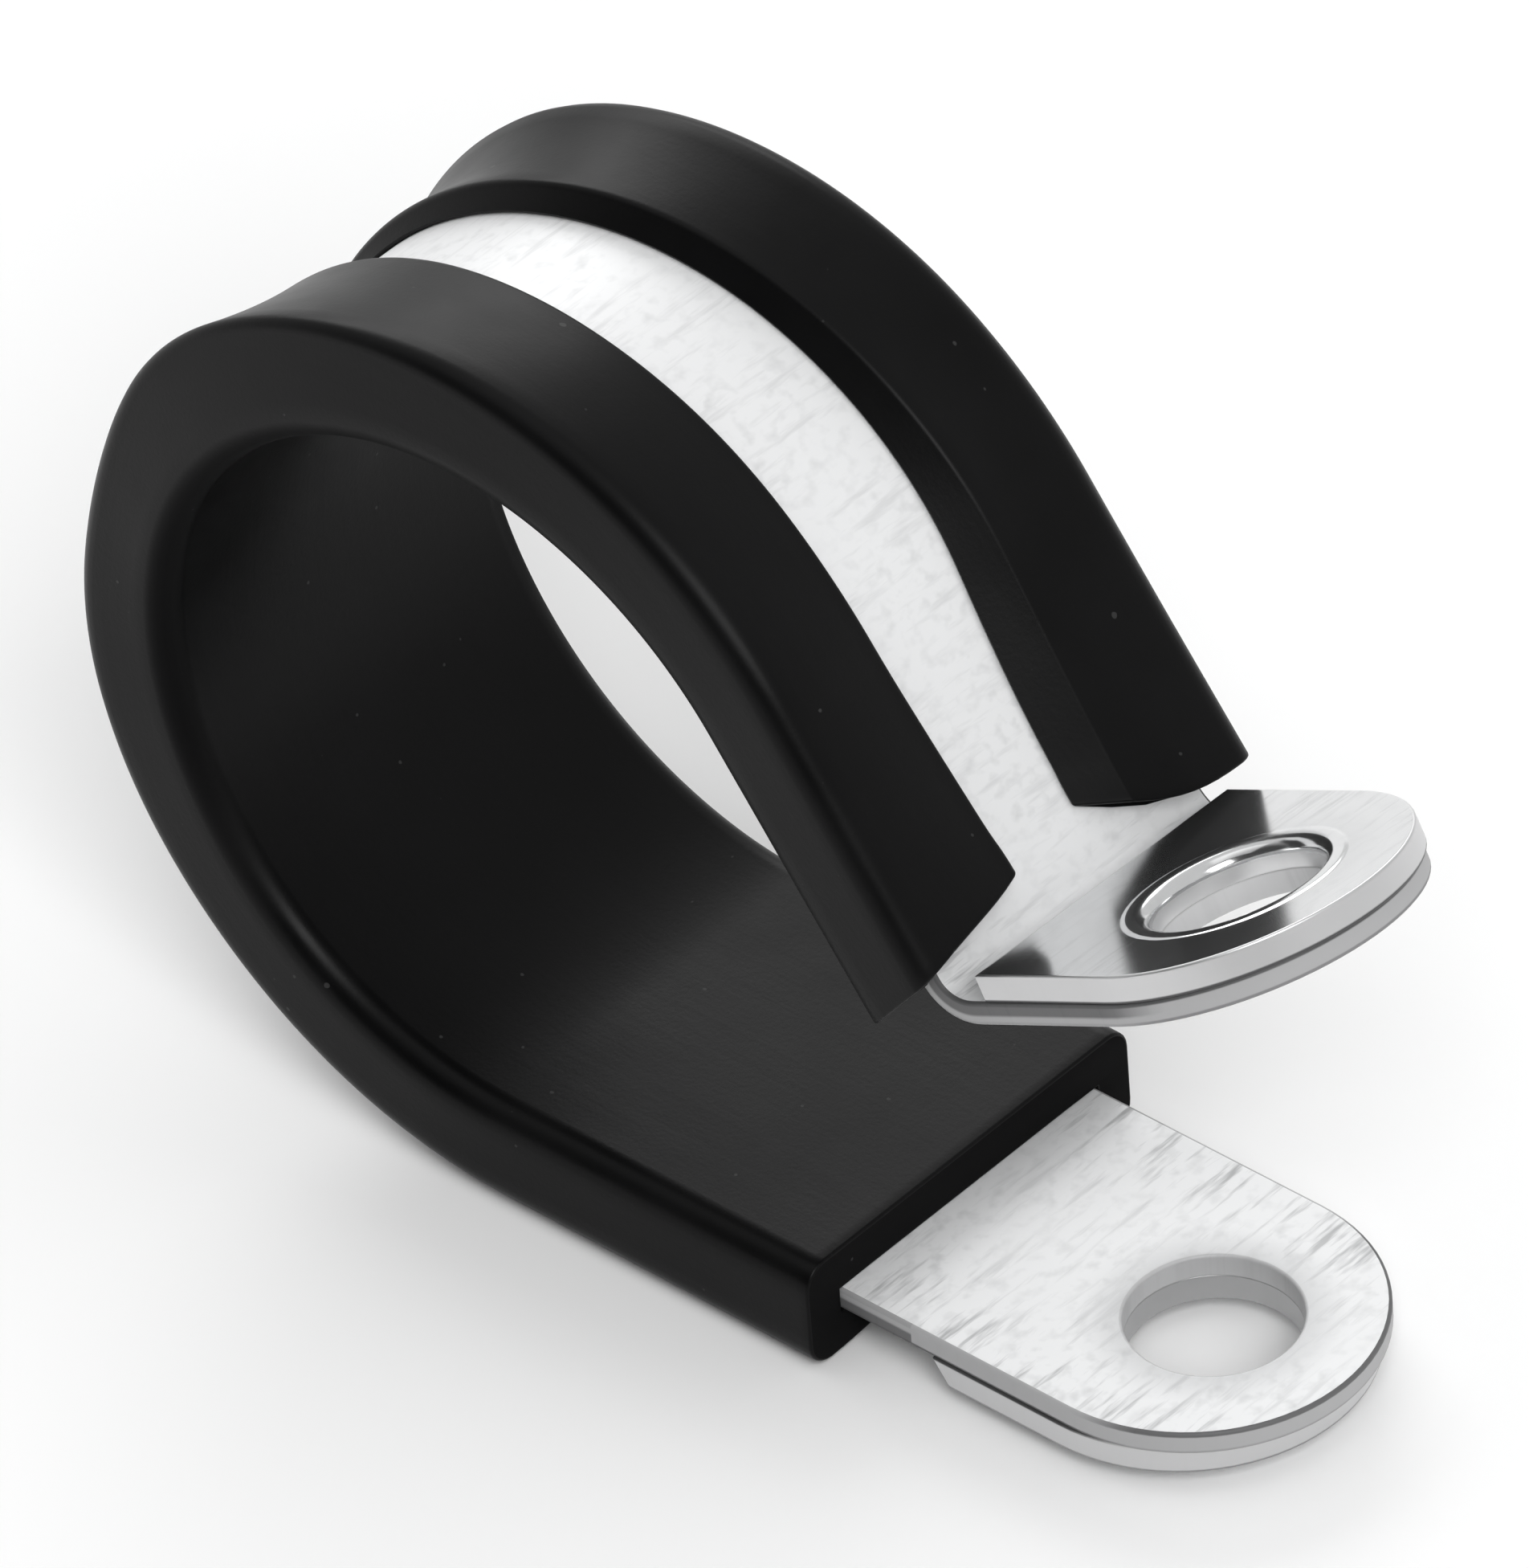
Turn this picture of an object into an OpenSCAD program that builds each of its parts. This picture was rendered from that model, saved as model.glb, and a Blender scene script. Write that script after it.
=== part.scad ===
// Cushioned pipe clamp, open as supplied. One bent steel band ends in two drilled lugs, a rubber
// channel grips the band's edges round the loop, and a stiffening plate backs each lug.
// The pipe lies along Y through the origin, and the lower lug is level and points along +X.

/* [Band] */
// Width of the steel band and its lugs
band_w = 15; // [12:0.5:20]
// Thickness of the steel band
band_t = 1; // [0.6:0.1:1.5]
// Diameter of the screw hole in each lug
hole_d = 7; // [4:0.1:8]

/* [Loop] */
// Radius of the open loop, measured to the inside of the cushion
loop_r = 15.5; // [10:0.5:30]
// Angle above level at which the upper leg leaves the loop
upper_tangent = 36; // [15:1:60]

/* [Cushion] */
// Thickness of the cushion between the pipe and the band
pad_t = 2; // [1.2:0.1:3.5]
// Thickness of the cushion beside each edge of the band
side_t = 1.9; // [1.4:0.1:3]
// Thickness of a lip at its root, over the band's edge
lip_t = 2; // [1.4:0.1:3]
// Thickness of a lip at its free edge
lip_edge_t = 1.2; // [0.8:0.1:1.4]
// Width of bare band between the two lips
lip_gap = 5.2; // [2:0.1:8]
// Rounding of the cushion's edges towards the pipe
inner_round = 1.1; // [0.4:0.1:1.4]
// Rounding of the cushion's edges away from the pipe
outer_round = 1; // [0.4:0.1:1.3]
// Rounding of a lip's free edge
lip_round = 0.4; // [0.2:0.1:0.6]
// Clearance of the band in the cushion's channel, all round
channel_slip = 0.1; // [0.05:0.01:0.2]

/* [Lower leg and lug] */
// Length of cushion along the lower leg, from below the loop's centre
lower_pad_len = 16; // [6:0.5:30]
// Bare band between the cushion and the lower plate
lower_gap = 4.5; // [1:0.1:10]
// Length of the lower plate, from its inner end to its tip
lower_plate_len = 13.9; // [11:0.1:25]
// Distance by which the lower plate's tip stays inside the band's tip
lower_plate_inset = 0.5; // [0:0.1:2]
// Distance from the lower lug's hole to the band's tip
lower_hole_back = 6.6; // [5:0.1:10]
// Slant of the lower plate's inner end, as a length along the plate
lower_plate_slant = 0.9; // [0.2:0.1:2]

/* [Upper leg and lug] */
// Straight length of the upper leg, from the loop to the bend
leg_len = 12.3; // [6:0.1:30]
// Distance by which the lips stop short of the bend
lip_back = 0.4; // [0.2:0.1:3]
// Slant of the cushion's upper end, which reaches furthest beside the pipe
pad_end_slant = 18; // [5:1:35]
// Radius of the bend, on the hollow side of the band
bend_r = 1.5; // [0.8:0.1:4]
// Tilt of the upper lug above level
lug_tilt = 26; // [0:1:30]
// Bare band between the bend and the upper plate
upper_gap = 1; // [0.5:0.1:6]
// Length of the upper plate, from its inner end to its tip
upper_plate_len = 14.1; // [11:0.1:25]
// Distance by which the band's upper tip stays inside the plate's tip
upper_band_inset = 0.3; // [0:0.1:2]
// Distance from the upper lug's hole to the plate's tip
upper_hole_back = 7.1; // [5:0.1:10]

/* [Plates] */
// Thickness of the stiffening plate on each lug
plate_t = 1.2; // [0.8:0.1:2.5]
// Rounding of the drawn rim of the upper plate's hole
rim_round = 0.6; // [0.2:0.1:0.7]

/* [Hidden] */
$fn = 96;

steel_colour = [0.86, 0.87, 0.88];
plate_colour = [0.74, 0.75, 0.77];
rubber_colour = [0.09, 0.09, 0.095];

// Faces along the radius, from the pipe outwards
band_r = loop_r + pad_t;
band_outer_r = band_r + band_t;
cushion_r = band_outer_r + lip_t;
cushion_w = band_w + 2 * side_t;

// The loop runs from the bottom round the back to the upper leg
loop_sweep = 270 - upper_tangent;
// Turn of the band from the upper leg to the upper lug
bend_turn = 90 - upper_tangent + lug_tilt;
// The upper leg and its bend are rolled this much thinner on each face, and run into the loop and the lug
leg_thinning = 0.01;
leg_t = band_t - 2 * leg_thinning;
leg_lap = 0.2;
bend_lap = 2;

// Along the lower leg, from below the loop's centre
lower_plate_start = lower_pad_len + lower_gap;
lower_plate_tip = lower_plate_start + lower_plate_len;
lower_band_tip = lower_plate_tip + lower_plate_inset;
// Along the upper lug, from the end of the bend
upper_plate_tip = upper_gap + upper_plate_len;
upper_band_tip = upper_plate_tip - upper_band_inset;
// Cushion along the upper leg, at the pipe
upper_pad_len = leg_len - lip_back + (pad_t + band_t) * tan(pad_end_slant);

// Overshoot of cutting shapes past the faces they cut
past = 1;
// Flats in each rounded edge of the cushion
round_steps = 5;

// A frame turned round the pipe: X points away from the pipe and Y runs round it
module around_pipe(angle) {
    rotate([90, 0, 0]) rotate([0, 0, angle]) children();
}

// The frame of the upper lug: origin at the bend's centre, X along the lug and Z up from it
module upper_lug_frame() {
    around_pipe(upper_tangent)
        translate([band_outer_r + bend_r, -leg_len, 0])
            rotate([0, 0, bend_turn])
                rotate([-90, 0, -90])
                    children();
}

// A strip of the band's width, bent about the frame's axis
module bent_strip(inner_r, thick, from, sweep) {
    rotate_extrude(start = from, angle = sweep)
        translate([inner_r, -band_w / 2]) square([thick, band_w]);
}

// A flat strip along X with a round tip
module round_strip(from, tip, thick) {
    round_at = tip - band_w / 2;
    translate([from, -band_w / 2, 0]) cube([round_at - from, band_w, thick]);
    translate([round_at, 0, 0])
        rotate_extrude(start = -90, angle = 180) square([band_w / 2, thick]);
}

// A screw hole through everything between two heights
module screw_hole(x, low, high) {
    translate([x, 0, low - past]) cylinder(h = high - low + 2 * past, d = hole_d);
}

module lower_lug_hole() {
    screw_hole(lower_band_tip - lower_hole_back, -band_outer_r - plate_t, -band_r);
}

module upper_lug_hole() {
    screw_hole(upper_plate_tip - upper_hole_back, -bend_r - band_t, plate_t - bend_r);
}

// The band: lower lug and leg, loop, upper leg, bend and upper lug in one strip
module steel_band() {
    color(steel_colour) difference() {
        union() {
            translate([0, 0, -band_outer_r]) round_strip(0, lower_band_tip, band_t);
            around_pipe(-90) bent_strip(band_r, band_t, 0, -loop_sweep);
            around_pipe(upper_tangent) translate([0, -leg_len, 0]) {
                translate([band_r + leg_thinning, 0, -band_w / 2])
                    cube([leg_t, leg_len + leg_lap, band_w]);
                translate([band_outer_r + bend_r, 0, 0])
                    bent_strip(bend_r + leg_thinning, leg_t, 180, bend_turn + bend_lap);
            }
            upper_lug_frame()
                translate([0, 0, -bend_r - band_t]) round_strip(0, upper_band_tip, band_t);
        }
        lower_lug_hole();
        upper_lug_frame() upper_lug_hole();
    }
}

// Points of a rounded corner about a centre
function corner(centre, radius, from, to) = [
    for (i = [0 : round_steps])
        let (a = from + (to - from) * i / round_steps)
            centre + radius * [cos(a), sin(a)]
];

// Half of the cushion's section, thinned all round: X away from the pipe, Y from the middle to one side
function half_section(thinning) =
    let (slip = channel_slip + thinning)
    concat(
        corner([loop_r + inner_round, cushion_w / 2 - inner_round], inner_round - thinning, 180, 90),
        corner([cushion_r - outer_round, cushion_w / 2 - outer_round], outer_round - thinning, 90, 0),
        corner([band_outer_r + lip_edge_t - lip_round, lip_gap / 2 + lip_round], lip_round - thinning, 0, -90),
        [
            [band_outer_r + slip, lip_gap / 2 + thinning],
            [band_outer_r + slip, band_w / 2 + slip],
            [band_r - slip, band_w / 2 + slip]
        ]
    );

module cushion_section(thinning) {
    half = half_section(thinning);
    other_half = [for (i = [len(half) - 1 : -1 : 0]) [half[i][0], -half[i][1]]];
    polygon(concat(half, other_half));
}

// What the slanted cut takes off the cushion's upper end
module upper_end_cut() {
    slope = tan(pad_end_slant);
    inner_x = loop_r - past;
    outer_x = cushion_r + past;
    linear_extrude(cushion_w + 2 * past, center = true) polygon([
        [inner_x, -upper_pad_len - past * slope],
        [outer_x, -upper_pad_len + (outer_x - loop_r) * slope],
        [outer_x, -upper_pad_len - 2 * past],
        [inner_x, -upper_pad_len - 2 * past]
    ]);
}

// The cushion: one channel section along the lower leg, round the loop and along the upper leg
module rubber_cushion() {
    color(rubber_colour) difference() {
        union() {
            around_pipe(-90) {
                rotate([-90, 0, 0]) linear_extrude(lower_pad_len) cushion_section(0);
                rotate_extrude(angle = -loop_sweep) cushion_section(0);
            }
            around_pipe(upper_tangent) translate([0, leg_lap, 0])
                rotate([90, 0, 0]) linear_extrude(leg_lap + upper_pad_len) cushion_section(leg_thinning);
        }
        around_pipe(upper_tangent) upper_end_cut();
    }
}

// The plate on top of the upper lug, with a rounded rim drawn into its hole
module upper_plate() {
    color(plate_colour) upper_lug_frame() difference() {
        translate([0, 0, -bend_r]) round_strip(upper_gap, upper_plate_tip, plate_t);
        upper_lug_hole();
        translate([upper_plate_tip - upper_hole_back, 0, plate_t - bend_r]) rotate_extrude() difference() {
            translate([0, -rim_round]) square([hole_d / 2 + rim_round, rim_round + past]);
            translate([hole_d / 2 + rim_round, -rim_round]) circle(rim_round);
        }
    }
}

// The plate under the lower lug, with a slanted inner end
module lower_plate() {
    color(plate_colour) translate([0, 0, -band_outer_r]) difference() {
        translate([0, 0, -plate_t]) round_strip(lower_plate_start, lower_plate_tip, plate_t);
        translate([lower_plate_start, 0, 0])
            rotate([90, 0, 0]) linear_extrude(band_w + 2 * past, center = true) polygon([
                [-lower_plate_slant, plate_t],
                [2 * lower_plate_slant, -2 * plate_t],
                [-lower_plate_slant, -2 * plate_t]
            ]);
        translate([0, 0, band_outer_r]) lower_lug_hole();
    }
}

steel_band();
rubber_cushion();
upper_plate();
lower_plate();
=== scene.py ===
"""Cushioned pipe clamp, dressed for the studio.

Every piece of the clamp is made flat, as it is stamped or extruded, and a Geometry Nodes tree then bends
it along one path: the middle line of the steel band, from the tip of the lower lug to the tip of the
upper lug. In a flat piece X runs along the band, Y across it, and Z from the band's middle away from the
pipe. The near side of the clamp is the one at -Y.
"""
import math

import bmesh
import bpy
import numpy as np
from mathutils import Matrix, Vector
from mathutils.geometry import tessellate_polygon


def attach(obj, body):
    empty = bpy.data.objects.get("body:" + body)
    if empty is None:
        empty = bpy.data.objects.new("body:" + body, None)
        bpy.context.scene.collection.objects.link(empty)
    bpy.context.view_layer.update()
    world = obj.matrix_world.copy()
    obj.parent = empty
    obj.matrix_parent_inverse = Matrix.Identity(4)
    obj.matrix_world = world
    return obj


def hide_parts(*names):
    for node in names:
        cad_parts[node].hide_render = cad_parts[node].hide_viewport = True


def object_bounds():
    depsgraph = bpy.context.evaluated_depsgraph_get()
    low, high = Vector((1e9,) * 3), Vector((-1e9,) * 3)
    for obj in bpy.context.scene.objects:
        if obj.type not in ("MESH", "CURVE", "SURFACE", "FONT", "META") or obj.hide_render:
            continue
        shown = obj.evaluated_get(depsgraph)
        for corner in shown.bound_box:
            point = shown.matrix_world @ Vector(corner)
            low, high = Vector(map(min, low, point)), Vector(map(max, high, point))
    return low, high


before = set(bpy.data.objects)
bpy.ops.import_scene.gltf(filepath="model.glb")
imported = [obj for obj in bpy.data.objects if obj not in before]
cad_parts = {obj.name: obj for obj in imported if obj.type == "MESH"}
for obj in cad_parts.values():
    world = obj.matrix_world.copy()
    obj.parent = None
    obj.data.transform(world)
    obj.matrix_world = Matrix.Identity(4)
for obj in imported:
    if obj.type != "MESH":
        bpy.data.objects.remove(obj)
cad_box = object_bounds()

MM = 0.001
QUARTER = math.pi / 2

# Sizes of the clamp
BAND_W = 15 * MM
BAND_T = 1 * MM
HOLE_R = 3.5 * MM
LOOP_R = 15.5 * MM
UPPER_TANGENT = math.radians(36)
PAD_T = 2 * MM
SIDE_T = 1.9 * MM
INNER_ROUND = 1.1 * MM
LIP_ROUND = 0.35 * MM
LOWER_PAD_LEN = 16 * MM
LOWER_GAP = 4.5 * MM
LOWER_PLATE_LEN = 13.9 * MM
LOWER_PLATE_INSET = 0.5 * MM
LOWER_HOLE_BACK = 6.6 * MM
LOWER_PLATE_SLANT = 0.9 * MM
LEG_LEN = 12.3 * MM
BEND_R = 1.5 * MM
LUG_TILT = math.radians(26)
# The upper lug is bent slightly askew: its rise from the near side to the far side, as a share of its width
LUG_TWIST = -0.044
UPPER_GAP = 1 * MM
UPPER_PLATE_LEN = 14.1 * MM
# How much further the upper plate's inner end reaches on its near side and on its far side
UPPER_PLATE_ASKEW = (0.2 * MM, 0.95 * MM)
UPPER_BAND_INSET = 0.3 * MM
UPPER_HOLE_BACK = 7.1 * MM
PLATE_T = 1.2 * MM

# Worked out from them
BAND_R = LOOP_R + PAD_T
MIDDLE_R = BAND_R + BAND_T / 2
BEND_MIDDLE_R = BEND_R + BAND_T / 2
LOOP_SWEEP = math.radians(270) - UPPER_TANGENT
BEND_TURN = QUARTER - UPPER_TANGENT + LUG_TILT
LOWER_LEN = LOWER_PAD_LEN + LOWER_GAP + LOWER_PLATE_LEN + LOWER_PLATE_INSET
UPPER_LEN = UPPER_GAP + UPPER_PLATE_LEN - UPPER_BAND_INSET
HALF_W = BAND_W / 2

# Stations along the band's middle line, from the lower tip
AT_PAD = LOWER_LEN - LOWER_PAD_LEN
AT_LOOP = LOWER_LEN
AT_LEG = AT_LOOP + MIDDLE_R * LOOP_SWEEP
AT_BEND = AT_LEG + LEG_LEN
AT_LUG = AT_BEND + BEND_MIDDLE_R * BEND_TURN
AT_TIP = AT_LUG + UPPER_LEN


# Steps that the pieces and the finishes share


def between(a, b, count):
    """Evenly spaced values from a to b, both included."""
    return np.linspace(a, b, count)


def eased(x):
    """A smooth step from 0 to 1."""
    x = min(max(x, 0.0), 1.0)
    return x * x * (3 - 2 * x)


def feed(tree, socket, value):
    """Links an input to another socket, or sets it to a plain value. A plain colour is opaque."""
    if isinstance(value, bpy.types.NodeSocket):
        tree.links.new(value, socket)
    elif socket.type == "RGBA":
        socket.default_value = (*value, 1)
    else:
        socket.default_value = value


def number_sum(tree, operation, *values):
    """One sum of numbers, each a socket or a plain number."""
    node = tree.nodes.new("ShaderNodeMath")
    node.operation = operation
    for socket, value in zip(node.inputs, values):
        feed(tree, socket, value)
    return node.outputs["Value"]


def vector_sum(tree, operation, *values):
    """One sum of vectors, each a socket or a plain vector."""
    node = tree.nodes.new("ShaderNodeVectorMath")
    node.operation = operation
    for socket, value in zip(node.inputs, values):
        feed(tree, socket, value)
    return node.outputs["Vector"]


# The path

# It runs on past both tips, so that a plate may reach further than the band
PATH_OVERRUN = 2 * MM
PATH_STEP = 0.05 * MM


def turned(angle):
    """A unit vector in the plane of the loop, turned from +X towards +Z."""
    return np.array([math.cos(angle), 0.0, math.sin(angle)])


def path_point(s, bend_at):
    """The point of the band's middle line at a distance from the lower tip. The bend starts at bend_at."""
    if s <= AT_LOOP:
        return np.array([LOWER_LEN - s, 0.0, -MIDDLE_R])
    if s <= AT_LEG:
        return MIDDLE_R * turned(-QUARTER - (s - AT_LOOP) / MIDDLE_R)
    outward = turned(UPPER_TANGENT)
    along_leg = turned(UPPER_TANGENT - QUARTER)
    if s <= bend_at:
        return MIDDLE_R * outward + (s - AT_LEG) * along_leg
    centre = (MIDDLE_R + BEND_MIDDLE_R) * outward + LEG_LEN * along_leg
    if s <= AT_LUG:
        return centre + BEND_MIDDLE_R * turned(UPPER_TANGENT + math.pi + (s - AT_BEND) / BEND_MIDDLE_R)
    along_lug = turned(LUG_TILT)
    end_of_bend = centre + BEND_MIDDLE_R * turned(LUG_TILT - QUARTER)
    return end_of_bend + (s - AT_LUG) * along_lug


def middle_line(name, bend_at):
    """The middle line as a curve of short straight steps."""
    count = round((AT_TIP + 2 * PATH_OVERRUN) / PATH_STEP)
    stations = between(-PATH_OVERRUN, AT_TIP + PATH_OVERRUN, count + 1)
    curve = bpy.data.curves.new(name, "CURVE")
    curve.dimensions = "3D"
    spline = curve.splines.new("POLY")
    spline.points.add(count)
    for point, s in zip(spline.points, stations):
        point.co = (*path_point(s, bend_at), 1.0)
    path = bpy.data.objects.new(name, curve)
    bpy.context.scene.collection.objects.link(path)
    return path


# Bending a flat piece along the path

BEND_INPUTS = (
    ("Flat Piece", "NodeSocketGeometry"),
    ("Path", "NodeSocketObject"),
    ("Start Along Path", "NodeSocketFloat"),
    ("Lift From Middle", "NodeSocketFloat"),
    ("Twist", "NodeSocketFloat"),
    ("Twist Start", "NodeSocketFloat"),
    ("Twist End", "NodeSocketFloat"),
    ("Finish", "NodeSocketMaterial"),
)
ACROSS = (0, 1, 0)
SHARP_ANGLE = math.radians(40)


def bend_tree():
    """The tree that bends a flat piece along the path."""
    tree = bpy.data.node_groups.new("bend_along_path", "GeometryNodeTree")
    for name, kind in BEND_INPUTS:
        tree.interface.new_socket(name, in_out="INPUT", socket_type=kind)
    tree.interface.new_socket("Bent Piece", in_out="OUTPUT", socket_type="NodeSocketGeometry")
    new = tree.nodes.new
    link = tree.links.new
    given = new("NodeGroupInput")
    made = new("NodeGroupOutput")

    path = new("GeometryNodeObjectInfo")
    link(given.outputs["Path"], path.inputs["Object"])
    place = new("GeometryNodeInputPosition")
    flat = new("ShaderNodeSeparateXYZ")
    link(place.outputs["Position"], flat.inputs["Vector"])
    station = number_sum(tree, "ADD", flat.outputs["X"], given.outputs["Start Along Path"])
    sample = new("GeometryNodeSampleCurve")
    sample.mode = "LENGTH"
    link(path.outputs["Geometry"], sample.inputs["Curves"])
    link(station, sample.inputs["Length"])

    # The height above the middle line tilts across the band as the twist comes in
    twist = new("ShaderNodeMapRange")
    twist.interpolation_type = "SMOOTHSTEP"
    link(station, twist.inputs["Value"])
    link(given.outputs["Twist Start"], twist.inputs["From Min"])
    link(given.outputs["Twist End"], twist.inputs["From Max"])
    twist.inputs["To Min"].default_value = 0.0
    link(given.outputs["Twist"], twist.inputs["To Max"])
    lift = number_sum(tree, "ADD", flat.outputs["Z"], given.outputs["Lift From Middle"])
    height = number_sum(tree, "MULTIPLY_ADD", flat.outputs["Y"], twist.outputs["Result"], lift)

    # Away from the pipe is the path's direction crossed with the direction across the band
    away = vector_sum(tree, "CROSS_PRODUCT", sample.outputs["Tangent"], ACROSS)
    raised = new("ShaderNodeVectorMath")
    raised.operation = "SCALE"
    link(vector_sum(tree, "NORMALIZE", away), raised.inputs[0])
    link(height, raised.inputs["Scale"])
    across = new("ShaderNodeCombineXYZ")
    link(flat.outputs["Y"], across.inputs["Y"])
    on_path = vector_sum(tree, "ADD", sample.outputs["Position"], raised.outputs["Vector"])
    bent = vector_sum(tree, "ADD", on_path, across.outputs["Vector"])

    move = new("GeometryNodeSetPosition")
    link(given.outputs["Flat Piece"], move.inputs["Geometry"])
    link(bent, move.inputs["Position"])
    real = new("GeometryNodeRealizeInstances")
    link(move.outputs["Geometry"], real.inputs["Geometry"])
    finish = new("GeometryNodeSetMaterial")
    link(real.outputs["Geometry"], finish.inputs["Geometry"])
    link(given.outputs["Finish"], finish.inputs["Material"])
    link(finish.outputs["Geometry"], made.inputs["Bent Piece"])
    return tree


BEND = bend_tree()


def bend(name, flat_mesh, path, finish, node, start=0.0, lift=0.0):
    """Bends a flat mesh along the path, bakes it, and puts it in the place of a CAD node.

    start is the station of the flat mesh's X = 0, and lift is the height of its Z = 0 over the middle line.
    """
    flat = bpy.data.objects.new(name + "_flat", flat_mesh)
    bpy.context.scene.collection.objects.link(flat)
    modifier = flat.modifiers.new("bend", "NODES")
    modifier.node_group = BEND
    settings = {
        "Path": path,
        "Start Along Path": start + PATH_OVERRUN,
        "Lift From Middle": lift,
        "Twist": LUG_TWIST,
        "Twist Start": AT_BEND + PATH_OVERRUN,
        "Twist End": AT_LUG + PATH_OVERRUN,
        "Finish": finish,
    }
    for item in BEND.interface.items_tree:
        if item.name in settings:
            modifier[item.identifier] = settings[item.name]
    graph = bpy.context.evaluated_depsgraph_get()
    mesh = bpy.data.meshes.new_from_object(flat.evaluated_get(graph), depsgraph=graph)
    bpy.data.objects.remove(flat)
    mesh.name = name
    mesh.set_sharp_from_angle(angle=SHARP_ANGLE)
    piece = bpy.data.objects.new(name, mesh)
    bpy.context.scene.collection.objects.link(piece)
    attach(piece, "root")
    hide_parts(node)


# Flat meshes

WELD = 0.002 * MM
SLIVER = WELD / 4
UV_NAME = "along_band"
MARKS_NAME = "edge_marks_and_shade"
# The length of band that the UV map shows as 1
UV_LENGTH = 100 * MM
# A cut end is sheared all over, with no painted shade lines and no ring of painted shade
CUT_END_MARKS = (1.0, 0.0, 0.0)


class FlatPiece:
    """Patches of a closed flat piece, welded into one mesh with a UV map and marks for its finish."""

    def __init__(self):
        self.points = []
        self.uvs = []
        self.marks = []
        self.faces = []

    def patch(self, rows, uv_rows=None, cut=0.0, lines=0.0, dimple_shade=0.0, closed=False):
        """Adds a grid of points, row by row. A closed patch joins the end of each row to its start.

        cut marks sheared or dull edges, lines the painted shade lines along them and in holes, and halo the
        ring of painted shade round a hole.
        """
        rows = np.asarray(rows, float)
        uv_rows = rows[..., :2] if uv_rows is None else np.asarray(uv_rows, float)
        marks = [np.broadcast_to(mark, rows.shape[:2]).reshape(-1) for mark in (cut, lines, dimple_shade)]
        first = len(self.points)
        across = rows.shape[1]
        self.points.extend(rows.reshape(-1, 3))
        self.uvs.extend(uv_rows.reshape(-1, 2))
        self.marks.extend(zip(*marks))
        for i in range(rows.shape[0] - 1):
            for j in range(across if closed else across - 1):
                k = (j + 1) % across
                a = first + i * across
                b = a + across
                self.faces.append((a + j, a + k, b + k, b + j))

    def cap(self, ring):
        """Closes an end with flat triangles on a ring of points that lies across the band."""
        first = len(self.points)
        across = ring[:, 1:]
        self.points.extend(ring)
        self.uvs.extend(across)
        self.marks.extend([CUT_END_MARKS] * len(ring))
        for corners in tessellate_polygon([[Vector((y, z, 0)) for y, z in across]]):
            self.faces.append(tuple(first + i for i in corners))

    def mesh(self, name):
        """Welds the patches and turns every face outwards."""
        form = bmesh.new()
        uv_layer = form.loops.layers.uv.new(UV_NAME)
        mark_layer = form.loops.layers.float_color.new(MARKS_NAME)
        verts = [form.verts.new(p) for p in self.points]
        for indices in self.faces:
            face = form.faces.new([verts[i] for i in indices])
            face.smooth = True
            for loop, i in zip(face.loops, indices):
                loop[uv_layer].uv = self.uvs[i] / UV_LENGTH
                loop[mark_layer] = (*self.marks[i], 1.0)
        bmesh.ops.remove_doubles(form, verts=form.verts, dist=WELD)
        bmesh.ops.dissolve_degenerate(form, edges=form.edges, dist=SLIVER)
        bmesh.ops.recalc_face_normals(form, faces=form.faces)
        mesh = bpy.data.meshes.new(name)
        form.to_mesh(mesh)
        form.free()
        return mesh


# Edges of stamped steel

ROUND_STEPS = 4
# A sheared wall is smooth up to this share of the thickness and torn above it
BREAK_SHARE = 0.42
SEAM_FADE = 0.06 * MM
# The painted shade lines of a lug's sides turn into those of its tip between these distances from the tip,
# in half widths
TIP_LINES_FROM = 0.95
TIP_LINES_FULL = 0.65


def round_edge(radius_low, radius_high, thick):
    """The profile of a rounded edge, from the low face to the high face, as pairs of inset and height."""
    turn = between(0, QUARTER, ROUND_STEPS + 1)
    low = [(radius_low * (1 - math.sin(a)), radius_low * (1 - math.cos(a))) for a in turn]
    high = [(radius_high * (1 - math.cos(a)), thick - radius_high * (1 - math.sin(a))) for a in turn]
    break_at = BREAK_SHARE * thick
    wall = (
        radius_low + SEAM_FADE,
        break_at - SEAM_FADE,
        break_at + SEAM_FADE,
        thick - radius_high - SEAM_FADE,
    )
    return low + [(0.0, height) for height in wall] + high


def edge_shade_lines(low, high, torn=0.0):
    """How dark the painted shade lines are on the rows of a rounded edge: its low rounding, its high
    rounding and its torn wall.
    """
    arc_points = ROUND_STEPS + 1
    return np.array([low] * arc_points + [0.0, 0.0, torn, torn] + [high] * arc_points)[:, None]


def lug_shade_lines(outline, tip, sides, at_tip):
    """How dark the painted shade lines on the edge of a lug are, from its straight sides to its round tip.
    """
    from_tip = np.abs(outline[:, 0] - tip) / HALF_W
    share = np.clip((TIP_LINES_FROM - from_tip) / (TIP_LINES_FROM - TIP_LINES_FULL), 0, 1)
    return edge_shade_lines(*sides) * (1 - share) + edge_shade_lines(*at_tip) * share


# Lugs and plates with a round tip and a hole

END_STEPS = 12
SIDE_STEPS = 6
TIP_STEPS = 40
FACE_RINGS = 9
# The rings of a face start and end this share of the way in from its outline and from its hole
RING_MARGIN = 0.02
# The width of the ring of painted shade round a hole, as a pressed dimple would shade it
DIMPLE_SHADE_W = 1.6 * MM
HOLE_EDGE_R = 0.12 * MM
# Where band and plate lie face to face, the edges of their holes stay almost sharp
MATED_EDGE_R = 0.02 * MM
# How far the wall of a hole counts as sheared, how dark the painted shade along its edge is where band and
# plate lie face to face, and how dark the painted shade over the whole wall is at least in a plate without
# a collar
HOLE_CUT = 0.7
MATED_HOLE_SHADE = 0.2
PLAIN_HOLE_SHADE = 0.4


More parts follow.
